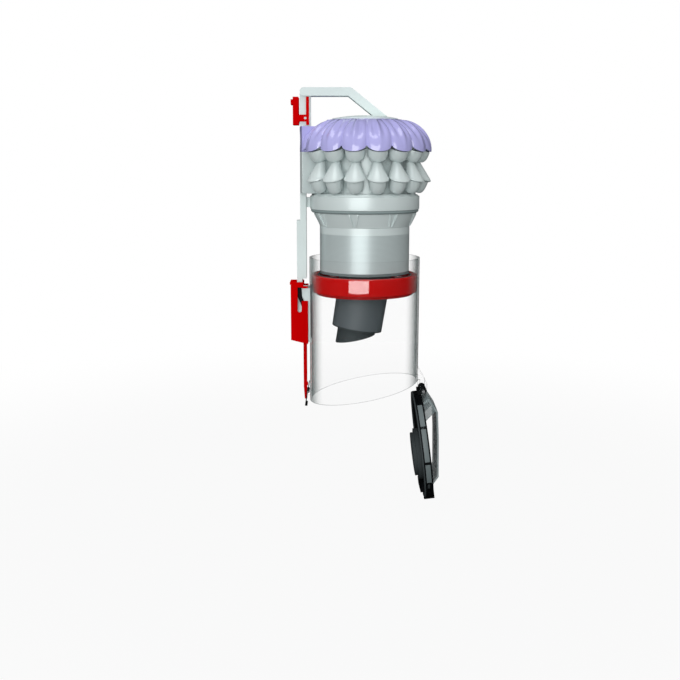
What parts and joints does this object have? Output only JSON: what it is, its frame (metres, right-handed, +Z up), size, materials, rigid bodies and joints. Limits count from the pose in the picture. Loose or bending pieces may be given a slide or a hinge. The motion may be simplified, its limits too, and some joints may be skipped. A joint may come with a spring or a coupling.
{
  "type": "vacuum cleaner cyclone and bin assembly",
  "caption": "Removable cyclone pack of an upright vacuum cleaner with a clear bin that slides down a rail and opens at its base flap to be emptied.",
  "frame": {"origin": "centre line of the carrying handle, on the axis of the cyclones", "axes": "+Z up along the cyclone axis, -X towards the rail and the red slider, +X towards the flap's hinge"},
  "size_m": [0.1883, 0.1652, 0.5202],
  "materials": {
    "silver_plastic": "satin metallic-look paint",
    "pale_grey_plastic": "satin",
    "purple_plastic": "gloss, tinted",
    "red_plastic": "gloss",
    "red_satin_plastic": "satin",
    "clear_plastic": "clear, polished",
    "smoke_plastic": "translucent grey",
    "black_plastic": "satin moulded",
    "charcoal_plastic": "satin moulded",
    "grey_plastic": "moulded",
    "dark_rubber": "matt",
    "grey_rubber": "matt",
    "mesh_metal": "perforated, satin",
    "steel": "bright"
  },
  "bodies": {
    "cyclone_pack": {"handle": "pale_grey_plastic", "handle_screws": "steel", "catch_pin": "steel", "catch_spring": "steel", "top_cap": "pale_grey_plastic", "cyclone_cover": "purple_plastic", "outlet_duct": "purple_plastic", "cover_gasket": "dark_rubber", "vortex_plate": "pale_grey_plastic", "upper_cyclones": "silver_plastic", "lower_cyclones": "silver_plastic", "cyclone_core": "silver_plastic", "collar": "silver_plastic", "rim_seal": "grey_rubber", "funnel": "silver_plastic", "shroud_frame": "silver_plastic", "shroud_mesh": "mesh_metal", "shroud_skirt": "grey_plastic", "dust_collector": "charcoal_plastic", "collector_boot": "dark_rubber", "spine": "silver_plastic", "slide_rail": "pale_grey_plastic", "rail_screws": "steel", "inlet_duct": "silver_plastic", "inlet_seal": "dark_rubber"},
    "release_lever": {"release_catch": "red_satin_plastic"},
    "bin": {"clear_bin": "clear_plastic", "wiper_ring": "red_plastic", "wiper_lip": "dark_rubber", "rail_bracket": "pale_grey_plastic", "bracket_screws": "steel", "latch_pins": "steel", "hinge_pin": "steel", "catch_bracket": "clear_plastic", "base_catch_pin": "steel"},
    "latch_lever": {"bin_latch": "black_plastic"},
    "red_slider": {"slider": "red_satin_plastic", "push_rod": "red_satin_plastic"},
    "catch_lever": {"base_catch": "black_plastic"},
    "flap": {"flap_frame": "black_plastic", "flap_core": "grey_plastic", "flap_seal": "dark_rubber", "collector_seal": "dark_rubber", "flap_foot": "smoke_plastic"}
  },
  "joints": [
    {"name": "release_catch_swing", "type": "hinge", "parent": "cyclone_pack", "child": "release_lever", "pos_m": [-0.0725, 0, -0.01613], "axis": [0, 1, 0], "range_deg": [0, 7], "stiffness_Nm_per_rad": 0.5},
    {"name": "bin_slide", "type": "slide", "parent": "cyclone_pack", "child": "bin", "axis": [0, 0, 1], "range_m": [0, 0.0595]},
    {"name": "slider_travel", "type": "slide", "parent": "bin", "child": "red_slider", "axis": [0, 0, 1], "range_m": [0, 0.01]},
    {"name": "base_catch_swing", "type": "hinge", "parent": "bin", "child": "catch_lever", "pos_m": [-0.0713, 0, -0.35576], "axis": [0, 1, 0], "range_deg": [-8, 0]},
    {"name": "bin_latch_swing", "type": "hinge", "parent": "bin", "child": "latch_lever", "pos_m": [-0.0752, 0, -0.24578], "axis": [0, -1, 0], "range_deg": [0, 4], "stiffness_Nm_per_rad": 0.05},
    {"name": "base_flap", "type": "hinge", "parent": "bin", "child": "flap", "pos_m": [0.075, 0, -0.35346], "axis": [0, 1, 0], "range_deg": [0, 86]}
  ],
  "couplings": [
    {"joint": "base_catch_swing", "follows": "slider_travel", "rad_per_m": -13.963}
  ]
}
